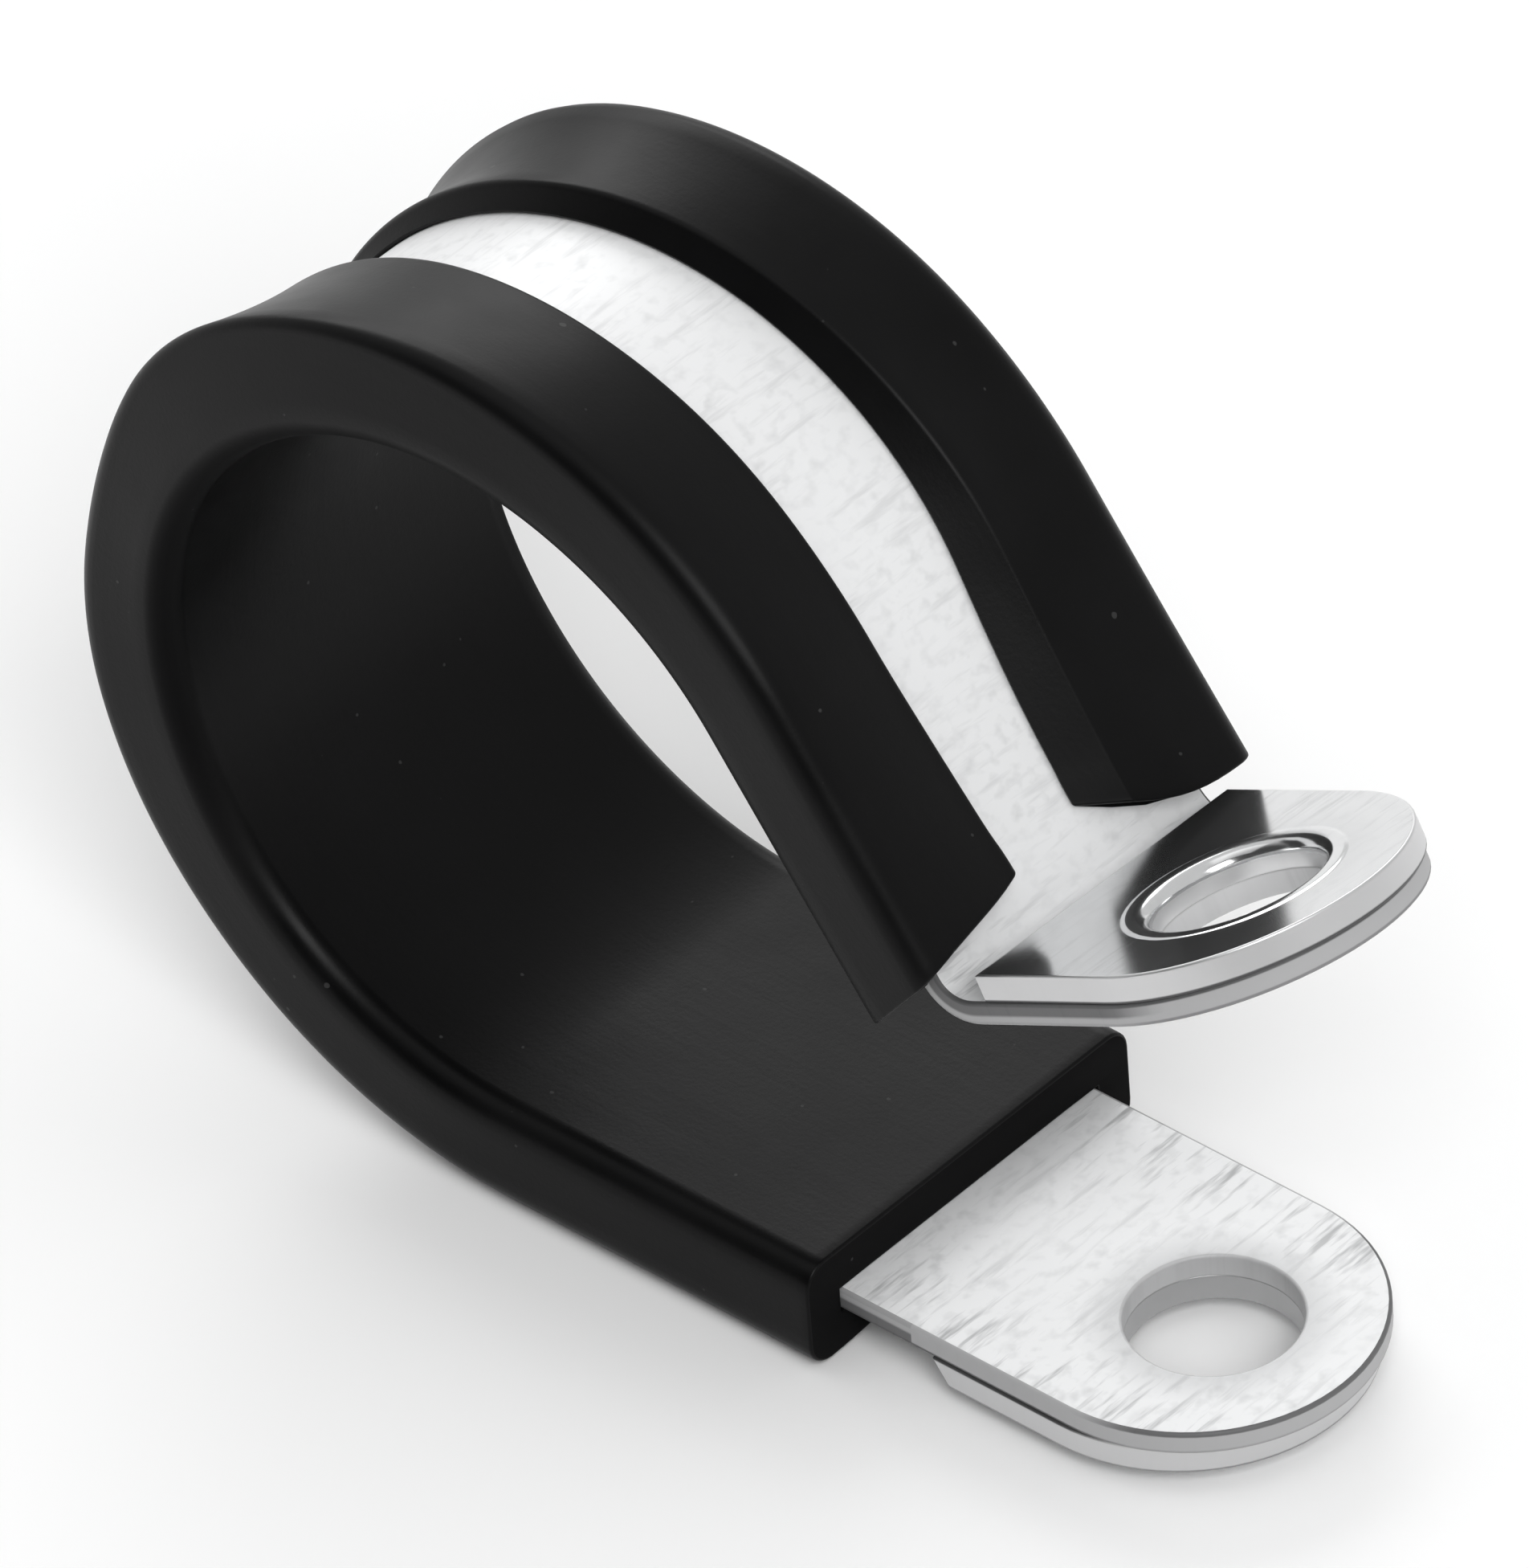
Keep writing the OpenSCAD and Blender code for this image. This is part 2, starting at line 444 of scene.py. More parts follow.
def lug_outline(end, tip, inset, end_inset, askew=(0.0, 0.0)):
    """The outline of a lug or plate with one round end, and the count of its points up to its far corner.

    It runs from the near corner of the square end round the tip to the far corner, and back along the
    square end. end and tip are distances along the band, and the tip may lie on either side of the end.
    askew is how much further the square end reaches on its near side and on its far side.
    """
    way = 1 if tip > end else -1
    half = HALF_W - inset
    round_at = tip - way * HALF_W
    near, far = [end + way * (end_inset - reach) for reach in askew]
    near_side = [(x, -half) for x in between(near, round_at, SIDE_STEPS)[:-1]]
    turn = between(-QUARTER, QUARTER, TIP_STEPS + 1)
    nose = [(round_at + way * half * math.cos(a), half * math.sin(a)) for a in turn]
    far_side = [(x, half) for x in between(round_at, far, SIDE_STEPS)[1:]]
    across = zip(between(far, near, END_STEPS + 1), between(half, -half, END_STEPS + 1))
    square = list(across)[1:-1]
    return np.array(near_side + nose + far_side + square), len(near_side) + len(nose) + len(far_side)


def add_height(outline, height):
    """Puts a height on the points of an outline."""
    return np.column_stack([outline, np.full(len(outline), height)])


def directions(outline, hole_at):
    """Unit vectors from a hole's centre to the points of an outline."""
    spokes = outline - np.array([hole_at, 0.0])
    return spokes / np.linalg.norm(spokes, axis=1, keepdims=True)


def hole_ring(spokes, hole_at, radius, height):
    """A ring of points round a hole, one on each spoke."""
    return add_height(np.array([hole_at, 0.0]) + spokes * radius, height)


def add_face(piece, outline, hole_at, hole_r, height):
    """A flat face between an outline and a round hole, in rings that run from the one to the other."""
    spokes = directions(outline, hole_at)
    reach = np.linalg.norm(outline - np.array([hole_at, 0.0]), axis=1, keepdims=True)
    shares = [0.0, *between(RING_MARGIN, 1 - RING_MARGIN, FACE_RINGS), 1.0]
    radii = [reach + (hole_r - reach) * share for share in shares]
    rows = [hole_ring(spokes, hole_at, radius, height) for radius in radii]
    # A ring of painted shade round the hole, fading out over its width
    dimple_shade = [np.clip(1 - (radius[:, 0] - hole_r) / DIMPLE_SHADE_W, 0, 1) for radius in radii]
    piece.patch(rows, dimple_shade=np.array(dimple_shade), closed=True)


def add_hole(piece, spokes, hole_at, low, profile, lines):
    """The wall of a hole, up its profile, on the spokes of the face round it."""
    rows = [hole_ring(spokes, hole_at, HOLE_R + inset, low + height) for inset, height in profile]
    piece.patch(rows, cut=HOLE_CUT, lines=lines, closed=True)


# The steel band

BAND_EDGE_R = 0.14 * MM
STRIP_STEP = 0.6 * MM
BEND_STEP = 0.12 * MM
LUG_SEAM = 1.0 * MM
# How dark the painted shade lines on the band's edges are: the low rounding, the high rounding and, where
# it shows, the torn wall
# These lines are painted shade. They fall in the seams against the plates, along the strip's edges under
# the lips, and along the upper and lower edges of the lugs' tips. On the strip's torn wall the line is
# partly its darker torn zone and partly painted shade.
LOWER_LUG_SIDES = (0.0, 1.0)
LOWER_LUG_TIP = (0.9, 0.25)
STRIP_SIDES = (0.2, 1.0, 0.85)
UPPER_LUG_TIP = (0.6, 1.0)


def band_lug(piece, seam, tip, hole_at, sides, at_tip):
    """One end of the band: a flat lug with a round tip and a hole, open where it joins the strip."""
    low = -BAND_T / 2
    rows = []
    for inset, height in round_edge(BAND_EDGE_R, BAND_EDGE_R, BAND_T):
        outline, edge_count = lug_outline(seam, tip, inset, end_inset=0.0)
        rows.append(add_height(outline[:edge_count], low + height))
    piece.patch(rows, cut=1.0, lines=lug_shade_lines(rows[-1], tip, sides, at_tip))
    outline, _ = lug_outline(seam, tip, BAND_EDGE_R, end_inset=0.0)
    for height, edge in ((low, HOLE_EDGE_R), (-low, MATED_EDGE_R)):
        add_face(piece, outline, hole_at, HOLE_R + edge, height)
    wall = round_edge(HOLE_EDGE_R, MATED_EDGE_R, BAND_T)
    # Painted shade along the hole's edge where the plate lies on the band
    lines = edge_shade_lines(low=0.0, high=MATED_HOLE_SHADE)
    add_hole(piece, directions(outline, hole_at), hole_at, low, wall, lines)


def steel_band_flat():
    """The whole band as a flat strip with a lug at each end."""
    piece = FlatPiece()
    low = -BAND_T / 2
    lower_seam = LOWER_PLATE_INSET + LOWER_PLATE_LEN + LUG_SEAM
    upper_seam = AT_LUG + LUG_SEAM
    upper_hole = AT_TIP + UPPER_BAND_INSET - UPPER_HOLE_BACK
    band_lug(piece, lower_seam, 0.0, LOWER_HOLE_BACK, LOWER_LUG_SIDES, LOWER_LUG_TIP)
    band_lug(piece, upper_seam, AT_TIP, upper_hole, STRIP_SIDES, UPPER_LUG_TIP)

    strip_count = round((AT_BEND - lower_seam) / STRIP_STEP)
    bend_count = round((upper_seam - AT_BEND) / BEND_STEP)
    stations = list(between(lower_seam, AT_BEND, strip_count + 1))
    stations += list(between(AT_BEND, upper_seam, bend_count + 1))[1:]
    flat_y = between(-(HALF_W - BAND_EDGE_R), HALF_W - BAND_EDGE_R, END_STEPS + 1)
    for height in (low, -low):
        piece.patch([[(s, y, height) for y in flat_y] for s in stations])
    profile = round_edge(BAND_EDGE_R, BAND_EDGE_R, BAND_T)
    for side in (-1, 1):
        rows = [[(s, side * (HALF_W - inset), low + h) for inset, h in profile] for s in stations]
        piece.patch(rows, cut=1.0, lines=edge_shade_lines(*STRIP_SIDES).T)
    return piece.mesh("steel_band_flat")


# The stiffening plates

PLATE_EDGE_R = 0.1 * MM
COLLAR_H = 0.05 * MM
COLLAR_INNER_R = 0.6 * MM
COLLAR_CREST = 0.25 * MM
COLLAR_OUTER_R = 0.3 * MM
COLLAR_FOOT_R = 0.3 * MM
COLLAR_STEPS = 7
# How dark the painted shade lines on the plates' edges are: the rounding against the band, and the one on
# the face that shows
UPPER_PLATE_LINES = (1.0, 0.0)
# On the lower plate, the line on the rounding of the face that shows is painted shade along its lowest edge
LOWER_PLATE_SIDES = (1.0, 0.6)
LOWER_PLATE_TIP = (0.25, 0.6)


def collar_profile():
    """The rim drawn up round a hole, from the hole's wall over the crest and down to the plate's face."""
    drop = COLLAR_OUTER_R + COLLAR_FOOT_R
    slope = math.acos(1 - COLLAR_H / drop)
    crest_end = COLLAR_INNER_R + COLLAR_CREST
    foot_end = crest_end + drop * math.sin(slope)
    top = PLATE_T + COLLAR_H
    inner = [(COLLAR_INNER_R * (1 - math.cos(a)), top - COLLAR_INNER_R * (1 - math.sin(a)))
             for a in between(0, QUARTER, COLLAR_STEPS)]
    outer = [(crest_end + COLLAR_OUTER_R * math.sin(a), top - COLLAR_OUTER_R * (1 - math.cos(a)))
             for a in between(0, slope, COLLAR_STEPS)]
    foot = [(foot_end - COLLAR_FOOT_R * math.sin(a), PLATE_T + COLLAR_FOOT_R * (1 - math.cos(a)))
            for a in between(slope, 0, COLLAR_STEPS)[1:]]
    return inner + outer + foot


def plate_flat(name, end, tip, hole_at, sides, at_tip, slant=0.0, askew=(0.0, 0.0), collar=None):
    """A stiffening plate: square at one end, where it may slant, and round at the other, with a hole.

    Its low face lies on the band, and its high face is the one that shows. collar is the profile of a rim
    that is drawn up round the hole.
    """
    piece = FlatPiece()
    way = 1 if tip > end else -1
    rows = []
    for inset, height in round_edge(PLATE_EDGE_R, PLATE_EDGE_R, PLATE_T):
        lean = way * slant * height / PLATE_T
        outline, _ = lug_outline(end + lean, tip, inset, inset, askew)
        rows.append(add_height(outline, height))
    piece.patch(rows, cut=1.0, lines=lug_shade_lines(rows[-1], tip, sides, at_tip), closed=True)
    low_outline, high_outline = rows[0][:, :2], rows[-1][:, :2]
    spokes = directions(high_outline, hole_at)
    wall = round_edge(MATED_EDGE_R, HOLE_EDGE_R, PLATE_T)
    # Painted shade in the hole: along the edge against the band, and over the whole wall where there is no
    # collar
    lines = np.maximum(edge_shade_lines(low=MATED_HOLE_SHADE, high=0.0), 0.0 if collar else PLAIN_HOLE_SHADE)
    rim = HOLE_EDGE_R
    if collar:
        # The wall goes straight from its low rounding up to the collar
        wall = wall[:ROUND_STEPS + 2] + collar[:1]
        lines = lines[:len(wall)]
        rim, _ = collar[-1]
        piece.patch([hole_ring(spokes, hole_at, HOLE_R + inset, h) for inset, h in collar], closed=True)
    add_hole(piece, spokes, hole_at, 0.0, wall, lines)
    add_face(piece, low_outline, hole_at, HOLE_R + MATED_EDGE_R, 0.0)
    add_face(piece, high_outline, hole_at, HOLE_R + rim, PLATE_T)
    return piece.mesh(name)


# The rubber cushion

LIP_SEAT = 0.03 * MM
LIP_FOOT_R = 0.15 * MM
CUT_ROUND = 0.12 * MM
CUSHION_STEP = 0.45 * MM
# The last point of the flat pad stays this far from its rounded corner
PAD_MARGIN = 0.1 * MM
# Points of half a section, counted piece by piece
PAD_POINTS = 15
ROUNDING_POINTS = 7
WALL_POINTS = 4
LIP_POINTS = 7
FOOT_POINTS = 4
SEAT_POINTS = 5
SLOT_POINTS = 3

# The upper end is cut by hand. On each side: the reach of the pad past the loop, the loss per height,
# the loss at the lip's free corner, and the power with which that loss sets in along the lip
NEAR_CUT = (12.9 * MM, 0.245, 1.35 * MM, 1)
FAR_CUT = (12.55 * MM, 0.02, 2.1 * MM, 3)
LIP_CORNER = 2.4 * MM
CUT_EASE = 5 * MM


def on_loop(degrees):
    """The station of a point of the loop, at an angle above the way the lugs point."""
    return AT_LOOP + MIDDLE_R * math.radians(270 - degrees)


def on_leg(distance):
    """The station of a point of the upper leg."""
    return AT_LEG + distance * MM


# The lips give way as the channel is bent. A row holds a station and then, in millimetres, the place of
# the free edge from the band's middle, the slope of the free edge, the thickness at the root and at the
# free edge, the outer rounding, the crown of the face between root and edge, which is dished where the
# crown is negative, and how far the side wall leans in at the root
NEAR_LIP = (
    (AT_PAD, 2.6, 0.2, 1.9, 1.3, 1.15, 0.12, 0),
    (AT_LOOP, 2.6, 0.2, 1.8, 1.3, 1.15, 0.12, 0),
    (on_loop(220), 2.6, 0.2, 1.8, 1.25, 1.05, 0.12, 0),
    (on_loop(200), 2.55, 0.2, 1.98, 1.25, 1.0, 0.1, 0),
    (on_loop(180), 2.5, 0.2, 1.92, 1.2, 1.0, 0.05, 0.05),
    (on_loop(160), 2.3, 0.2, 1.6, 1.1, 1.0, -0.1, 0.4),
    (on_loop(140), 2.0, 0.2, 2.25, 1.1, 0.4, -0.2, 0.55),
    (on_loop(120), 1.85, 0.2, 2.15, 1.2, 0.45, -0.15, 0.55),
    (on_loop(90), 2.4, 0.2, 1.95, 1.3, 0.8, 0.05, 0.4),
    (on_loop(60), 2.7, 0.2, 2.0, 1.3, 1.0, 0.12, 0.2),
    (on_loop(40), 3.05, 0.2, 2.0, 1.3, 1.0, 0.12, 0),
    (on_leg(2), 2.9, 0.2, 2.0, 1.3, 1.0, 0.12, 0),
    (on_leg(8), 2.65, 0.2, 2.0, 1.3, 1.0, 0.12, 0),
    (on_leg(12), 2.4, 0.2, 2.0, 1.3, 1.0, 0.12, 0),
)
FAR_LIP = (
    (AT_PAD, 2.6, 0.2, 1.9, 1.3, 1.15, 0.12, 0),
    (AT_LOOP, 2.6, 0.2, 1.8, 1.3, 1.1, 0.12, 0),
    (on_loop(180), 2.7, 0.3, 1.3, 0.75, 1.0, -0.2, 0),
    (on_loop(140), 2.75, 0.25, 1.2, 0.83, 0.9, -0.45, 0),
    (on_loop(115), 3.0, 0.35, 1.7, 1.2, 1.0, -0.25, 0),
    (on_loop(95), 3.25, 0.5, 1.87, 1.3, 1.0, -0.1, 0),
    (on_loop(70), 3.35, 0.65, 2.0, 1.3, 1.0, 0.1, 0),
    (on_loop(45), 3.0, 1.0, 1.8, 1.3, 1.1, 0.12, 0),
    (on_leg(0), 2.65, 1.3, 1.75, 1.3, 1.05, 0.12, 0),
    (on_leg(4), 2.05, 1.5, 1.75, 1.3, 1.05, 0.12, 0),
    (on_leg(8), 1.85, 1.5, 1.75, 1.3, 1.05, 0.12, 0),
    (on_leg(12), 1.8, 1.5, 1.85, 1.3, 1.05, 0.12, 0),
)
# A lip's sizes are averaged over this stretch of the channel
LIP_EASE = between(-4 * MM, 4 * MM, 17)
# The inner corners turn dull as the channel comes up round the back of the loop
DULL_FROM = on_loop(235)
DULL_FULL = on_loop(195)


def lip_sizes(table, s):
    """A lip's sizes at a station, eased along the channel."""
    columns = np.array(table).T
    return [np.interp(s + LIP_EASE, columns[0], column).mean() * MM for column in columns[1:]]


def arc(centre, radius, start, end, count=ROUNDING_POINTS):
    """Points of an arc in the section: Y across the band and Z away from the pipe."""
    turn = between(start, end, count)
    return [(centre[0] + radius * math.cos(a), centre[1] + radius * math.sin(a)) for a in turn]


def half_section(s, lip):
    """One side of the channel, from the pad's middle round the wall and the lip to the channel's middle."""
    foot_at, slope, root_t, edge_t, outer_round, crown, lean_in = lip_sizes(lip, s)
    half = HALF_W + SIDE_T
    inner = -BAND_T / 2 - PAD_T
    top = BAND_T / 2 + root_t
    edge_top = BAND_T / 2 + edge_t

    # The pad, its rounded corner and the side wall
    low, high = inner + INNER_ROUND, top - outer_round
    points = [(y, inner) for y in between(0, half - INNER_ROUND - PAD_MARGIN, PAD_POINTS)]
    points += arc((half - INNER_ROUND, low), INNER_ROUND, -QUARTER, 0)
    for share in between(0, 1, WALL_POINTS + 2)[1:-1]:
        points.append((half - lean_in * share, low + (high - low) * share))

    # The lip, whose crown is highest halfway across it
    y_root, y_edge = half - lean_in - outer_round, foot_at + slope + LIP_ROUND
    points += arc((y_root, high), outer_round, 0, QUARTER)
    for share in between(0, 1, LIP_POINTS + 2)[1:-1]:
        z = top + (edge_top - top) * share + crown * 4 * share * (1 - share)
        points.append((y_root + (y_edge - y_root) * share, z))
    lean = math.atan2(slope, edge_t)
    points += arc((y_edge, edge_top - LIP_ROUND), LIP_ROUND, QUARTER, 2 * QUARTER - lean)

    # The channel that the band lies in
    seat = BAND_T / 2 + LIP_SEAT
    wall = HALF_W + LIP_SEAT
    foot_y = foot_at + LIP_FOOT_R
    points += arc((foot_y, seat + LIP_FOOT_R), LIP_FOOT_R, 2 * QUARTER, 3 * QUARTER, FOOT_POINTS)
    points += [(y, seat) for y in between(foot_y, wall, SEAT_POINTS)[1:]]
    points += [(wall, z) for z in between(seat, -seat, SLOT_POINTS)[1:]]
    points += [(y, -seat) for y in between(wall, 0, SEAT_POINTS)[1:]]
    return points


def cushion_section(s):
    """The whole channel section at a station, as a closed ring of points across and away."""
    far = half_section(s, FAR_LIP)
    near = half_section(s, NEAR_LIP)
    mirrored = [(-y, z) for y, z in reversed(near)]
    return np.array(mirrored[:-1] + far[:-1])


def inner_corners():
    """Marks for the points of a section, which swell to 1 in its rounded corners beside the pipe."""
    count = len(half_section(AT_LOOP, NEAR_LIP))
    half = [0.0] * PAD_POINTS + list(np.sin(between(0, math.pi, ROUNDING_POINTS)))
    half += [0.0] * (count - len(half))
    return np.array(half[:0:-1] + half[:-1])


def shrunk(section, depth):
    """A section drawn in by a depth along its own normals."""
    ahead = np.roll(section, -1, axis=0) - section
    behind = section - np.roll(section, 1, axis=0)
    unit = ahead / np.linalg.norm(ahead, axis=1, keepdims=True)
    unit = unit + behind / np.linalg.norm(behind, axis=1, keepdims=True)
    unit = unit / np.linalg.norm(unit, axis=1, keepdims=True)
    inward = np.column_stack([-unit[:, 1], unit[:, 0]])
    return section + depth * inward


def upper_cut(y, z):
    """How far past the loop the cushion reaches at a point of its section."""
    share = eased((y + HALF_W) / (2 * HALF_W))
    reach, loss, corner, power = [n + (f - n) * share for n, f in zip(NEAR_CUT, FAR_CUT)]
    half = HALF_W + SIDE_T
    inward = max(half - abs(y), 0.0) / (half - LIP_CORNER) if z > 0 else 0.0
    height = z + BAND_T / 2 + PAD_T
    return reach - loss * height - corner * inward ** power


def cushion_rings(end):
    """The stations of the cushion's sections, each with the depth it is drawn in by at the rounded ends."""
    turn = between(0, QUARTER, ROUND_STEPS + 1)
    rounding = [(CUT_ROUND * (1 - math.sin(a)), CUT_ROUND * (1 - math.cos(a))) for a in turn]
    count = round((end - AT_PAD) / CUSHION_STEP)
    stations = between(AT_PAD + CUT_ROUND, end - CUT_ROUND, count + 1)
    rings = [(AT_PAD + inset, depth) for inset, depth in reversed(rounding)]
    rings += [(s, 0.0) for s in stations[1:-1]]
    rings += [(end - inset, depth) for inset, depth in rounding]
    return rings


def rubber_cushion_flat():
    """The cushion as a straight length of channel, cut square at one end and by hand at the other."""
    piece = FlatPiece()
    end = AT_LEG + NEAR_CUT[0]
    rings = cushion_rings(end)
    rows = []
    uv_rows = []
    for s, depth in rings:
        section = shrunk(cushion_section(s), depth) if depth else cushion_section(s)
        lengths = np.linalg.norm(np.roll(section, -1, axis=0) - section, axis=1)
        girth = np.concatenate([[0.0], np.cumsum(lengths)[:-1]])
        share = eased((s - (end - CUT_EASE)) / CUT_EASE)
        x = [s + share * (AT_LEG + upper_cut(y, z) - end) for y, z in section]
        rows.append(np.column_stack([x, section]))
        uv_rows.append(np.column_stack([x, girth]))
    dulled = [eased((s - DULL_FROM) / (DULL_FULL - DULL_FROM)) for s, _ in rings]
    piece.patch(rows, uv_rows, cut=np.outer(dulled, inner_corners()), closed=True)
    for row in (rows[0], rows[-1]):
        piece.cap(row)
    return piece.mesh("rubber_cushion_flat")


# Finishes

# The colour of the painted shade lines: in seams, under edges, along the lugs' tips and in holes
SHADE_LINE_TONE = (0.1, 0.1, 0.102)
# How far the ring of painted shade round a hole darkens towards the marks' tone
DIMPLE_SHADE_SHARE = 0.5
# Steel is marked least in the middle of the band, out to the first distance, and fully from the second on
MARKS_FROM = 2.5 * MM
MARKS_FULL = 7 * MM
MARKS_LEAST = 0.3
STEEL_MARK_H = 0.02 * MM
RUBBER_TONES = ((0.0015, 0.0015, 0.0016), (0.003, 0.003, 0.0032))
DUST_TONE = (0.03, 0.03, 0.03)
RUBBER_DULLING = 0.5
RUBBER_LINE_H = 0.05 * MM
RUBBER_GRAIN_H = 0.03 * MM
FLOOR_TONES = ((0.97, 0.97, 0.97), (0.98, 0.98, 0.98))


class Finish:
    """A material in the making, with the steps that lead up to its main shader."""

    def __init__(self, name, gloss):
        self.material = bpy.data.materials.new(name)
        self.material.use_nodes = True
        self.tree = self.material.node_tree
        self.main = self.tree.nodes["Principled BSDF"]
        self.main.inputs["Specular IOR Level"].default_value = gloss

    def give(self, inputs):
        """Feeds inputs of the main shader, by their names."""
        for name, value in inputs.items():
            feed(self.tree, self.main.inputs[name], value)

    def along_band(self):
        """The piece's own UV map: along the flat band, and across it."""
        uv = self.tree.nodes.new("ShaderNodeUVMap")
        uv.uv_map = UV_NAME
        return uv.outputs["UV"]

    def pattern(self, scale, detail, roughness=0.5, stretch=(1, 1, 1)):
        """Noise on the flat band, stretched along or across it."""
        mapping = self.tree.nodes.new("ShaderNodeMapping")
        mapping.inputs["Scale"].default_value = stretch
        self.tree.links.new(self.along_band(), mapping.inputs["Vector"])
        noise = self.tree.nodes.new("ShaderNodeTexNoise")
        noise.inputs["Scale"].default_value = scale
        noise.inputs["Detail"].default_value = detail
        noise.inputs["Roughness"].default_value = roughness
        self.tree.links.new(mapping.outputs["Vector"], noise.inputs["Vector"])
        return noise.outputs["Fac"]

    def ramp(self, value, low, high, start=0.0, end=1.0):
        """A value that goes from start to end as another one goes from low to high."""
        node = self.tree.nodes.new("ShaderNodeMapRange")
        node.inputs["From Min"].default_value = low
        node.inputs["From Max"].default_value = high
        node.inputs["To Min"].default_value = start
        node.inputs["To Max"].default_value = end
        self.tree.links.new(value, node.inputs["Value"])
        return node.outputs["Result"]

    def times(self, a, b):
        """One value times another."""
        return number_sum(self.tree, "MULTIPLY", a, b)

    def plus(self, a, b):
        """One value and another added up."""
        return number_sum(self.tree, "ADD", a, b)

    def larger(self, a, b):
        """The larger one of two values."""
        return number_sum(self.tree, "MAXIMUM", a, b)

    def mixed(self, share, below, above):
        """A colour laid over another by a share. Each is a socket or a plain colour."""
        node = self.tree.nodes.new("ShaderNodeMix")
        node.data_type = "RGBA"
        sockets = {s.identifier: s for s in node.inputs}
        feed(self.tree, sockets["Factor_Float"], share)
        feed(self.tree, sockets["A_Color"], below)
        feed(self.tree, sockets["B_Color"], above)
        return next(s for s in node.outputs if s.identifier == "Result_Color")

    def bumped(self, height, strength, distance, below=None):
        """Turns a height into a normal, on top of another one if it is given."""
        node = self.tree.nodes.new("ShaderNodeBump")
        node.inputs["Strength"].default_value = strength
        node.inputs["Distance"].default_value = distance
        self.tree.links.new(height, node.inputs["Height"])
        if below is not None:
            self.tree.links.new(below, node.inputs["Normal"])
        return node.outputs["Normal"]

    def edge_marks_and_shade(self):
        """The marks of a piece: sheared or dull edges, painted shade lines along them, and rings of painted
        shade round its holes.
        """
        marks = self.tree.nodes.new("ShaderNodeAttribute")
        marks.attribute_name = MARKS_NAME
        parts = self.tree.nodes.new("ShaderNodeSeparateColor")
        self.tree.links.new(marks.outputs["Color"], parts.inputs["Color"])
        return parts.outputs["Red"], parts.outputs["Green"], parts.outputs["Blue"]

    def side_share(self, inner, outer, least):
        """A share that rises from least in the middle of the band to 1 towards its edges."""
        parts = self.tree.nodes.new("ShaderNodeSeparateXYZ")
        self.tree.links.new(self.along_band(), parts.inputs["Vector"])
        from_middle = number_sum(self.tree, "ABSOLUTE", parts.outputs["Y"])
        return self.ramp(from_middle, inner / UV_LENGTH, outer / UV_LENGTH, least, 1)


def zinc_steel(name, metal, gloss, face, mark, edge, face_rough, mark_rough, edge_rough, mark_depth):
    """Bright zinc-plated steel: fine marks across the rolled faces, duller sheared edges, and painted shade
    lines and rings.

    face, mark and edge are the tones of the clean face, of the marks on it and of the sheared edges, and
    edge_rough is how much rougher than the face the edges are.
    """
    finish = Finish(name, gloss)
    streaks = finish.pattern(scale=80, detail=3, roughness=0.6, stretch=(2.6, 0.3, 1))
    streaks = finish.ramp(streaks, low=0.53, high=0.68)
    dots = finish.pattern(scale=150, detail=2, stretch=(1, 0.8, 1))
    dots = finish.ramp(dots, low=0.5, high=0.75)
    clouds = finish.pattern(scale=16, detail=2)
    clouds = finish.ramp(clouds, low=0.3, high=0.7, start=0.1, end=0.5)
    streaks = finish.times(streaks, finish.side_share(MARKS_FROM, MARKS_FULL, MARKS_LEAST))
    marks = finish.larger(streaks, finish.times(dots, clouds))
    sheared, line, ring = finish.edge_marks_and_shade()
    tone = finish.mixed(marks, face, mark)
    # Painted shade of a pressed dimple: a darker ring round each hole
    tone = finish.mixed(finish.times(ring, DIMPLE_SHADE_SHARE), tone, mark)
    tone = finish.mixed(sheared, tone, edge)
    # Painted shade: dark lines in the seams, under edges and in holes
    tone = finish.mixed(line, tone, SHADE_LINE_TONE)
    rough = finish.ramp(marks, low=0, high=1, start=face_rough, end=mark_rough)
    finish.give({
        "Metallic": metal,
        "Base Color": tone,
        "Roughness": finish.plus(rough, finish.times(sheared, edge_rough)),
        "Normal": finish.bumped(marks, strength=mark_depth, distance=STEEL_MARK_H),
    })
    return finish.material


def satin_rubber():
    """Black extruded rubber: faint lines along the channel, a fine grain, and a few specks of dust.

    Its cut ends, and its inner corners over the top of the loop, are duller than its faces.
    """
    finish = Finish("satin_rubber", gloss=0.12)
    lines = finish.pattern(scale=120, detail=3, roughness=0.6, stretch=(0.05, 1, 1))
    grain = finish.pattern(scale=420, detail=3, roughness=0.65)
    clouds = finish.pattern(scale=14, detail=3, roughness=0.55)
    specks = finish.pattern(scale=170, detail=0)
    dust = finish.ramp(specks, low=0.86, high=0.88)
    body = finish.mixed(finish.ramp(clouds, low=0.3, high=0.7), *RUBBER_TONES)
    rough = finish.ramp(clouds, low=0.3, high=0.7, start=0.34, end=0.44)
    dull, _, _ = finish.edge_marks_and_shade()
    lined = finish.bumped(lines, strength=0.12, distance=RUBBER_LINE_H)
    finish.give({
        "Base Color": finish.mixed(dust, body, DUST_TONE),
        "Roughness": finish.plus(rough, finish.times(dull, RUBBER_DULLING)),
        "Normal": finish.bumped(grain, strength=0.18, distance=RUBBER_GRAIN_H, below=lined),
    })
    return finish.material


